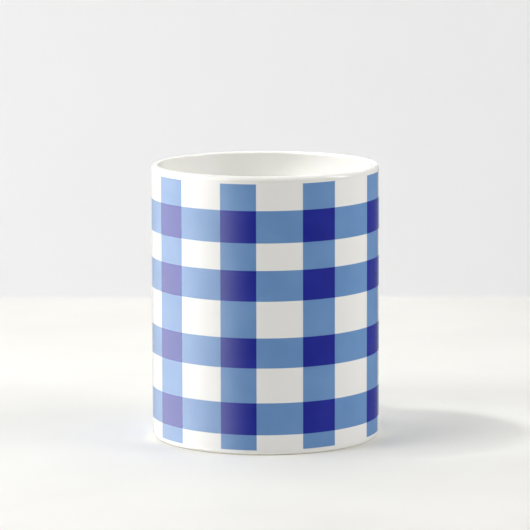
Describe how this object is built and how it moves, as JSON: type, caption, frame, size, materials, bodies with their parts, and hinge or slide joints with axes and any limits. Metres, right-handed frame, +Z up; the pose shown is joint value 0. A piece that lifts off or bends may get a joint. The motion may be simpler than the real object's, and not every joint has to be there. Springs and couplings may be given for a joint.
{
  "type": "straight-sided mug",
  "caption": "Straight-sided glazed mug with a rounded lip, bare foot ring, D-shaped handle and a light blue and navy checked wrap.",
  "frame": {"origin": "middle of the bottom of the whole mug's bounding box, handle included, on the surface the mug stands on", "axes": "+Z up out of the mouth, +Y towards the handle, -Y the front of the print, +X to the right seen from the front"},
  "size_m": [0.0812, 0.1172, 0.098],
  "materials": {
    "white_glaze": "white gloss glaze over a white stoneware body, bare on the foot ring",
    "printed_glaze": "gloss print of light blue and navy checks on the white glaze"
  },
  "bodies": {
    "root": {"cup_body": "white_glaze", "printed_wrap": "printed_glaze", "handle": "white_glaze", "handle_joint_upper": "white_glaze", "handle_joint_lower": "white_glaze"}
  },
  "joints": []
}
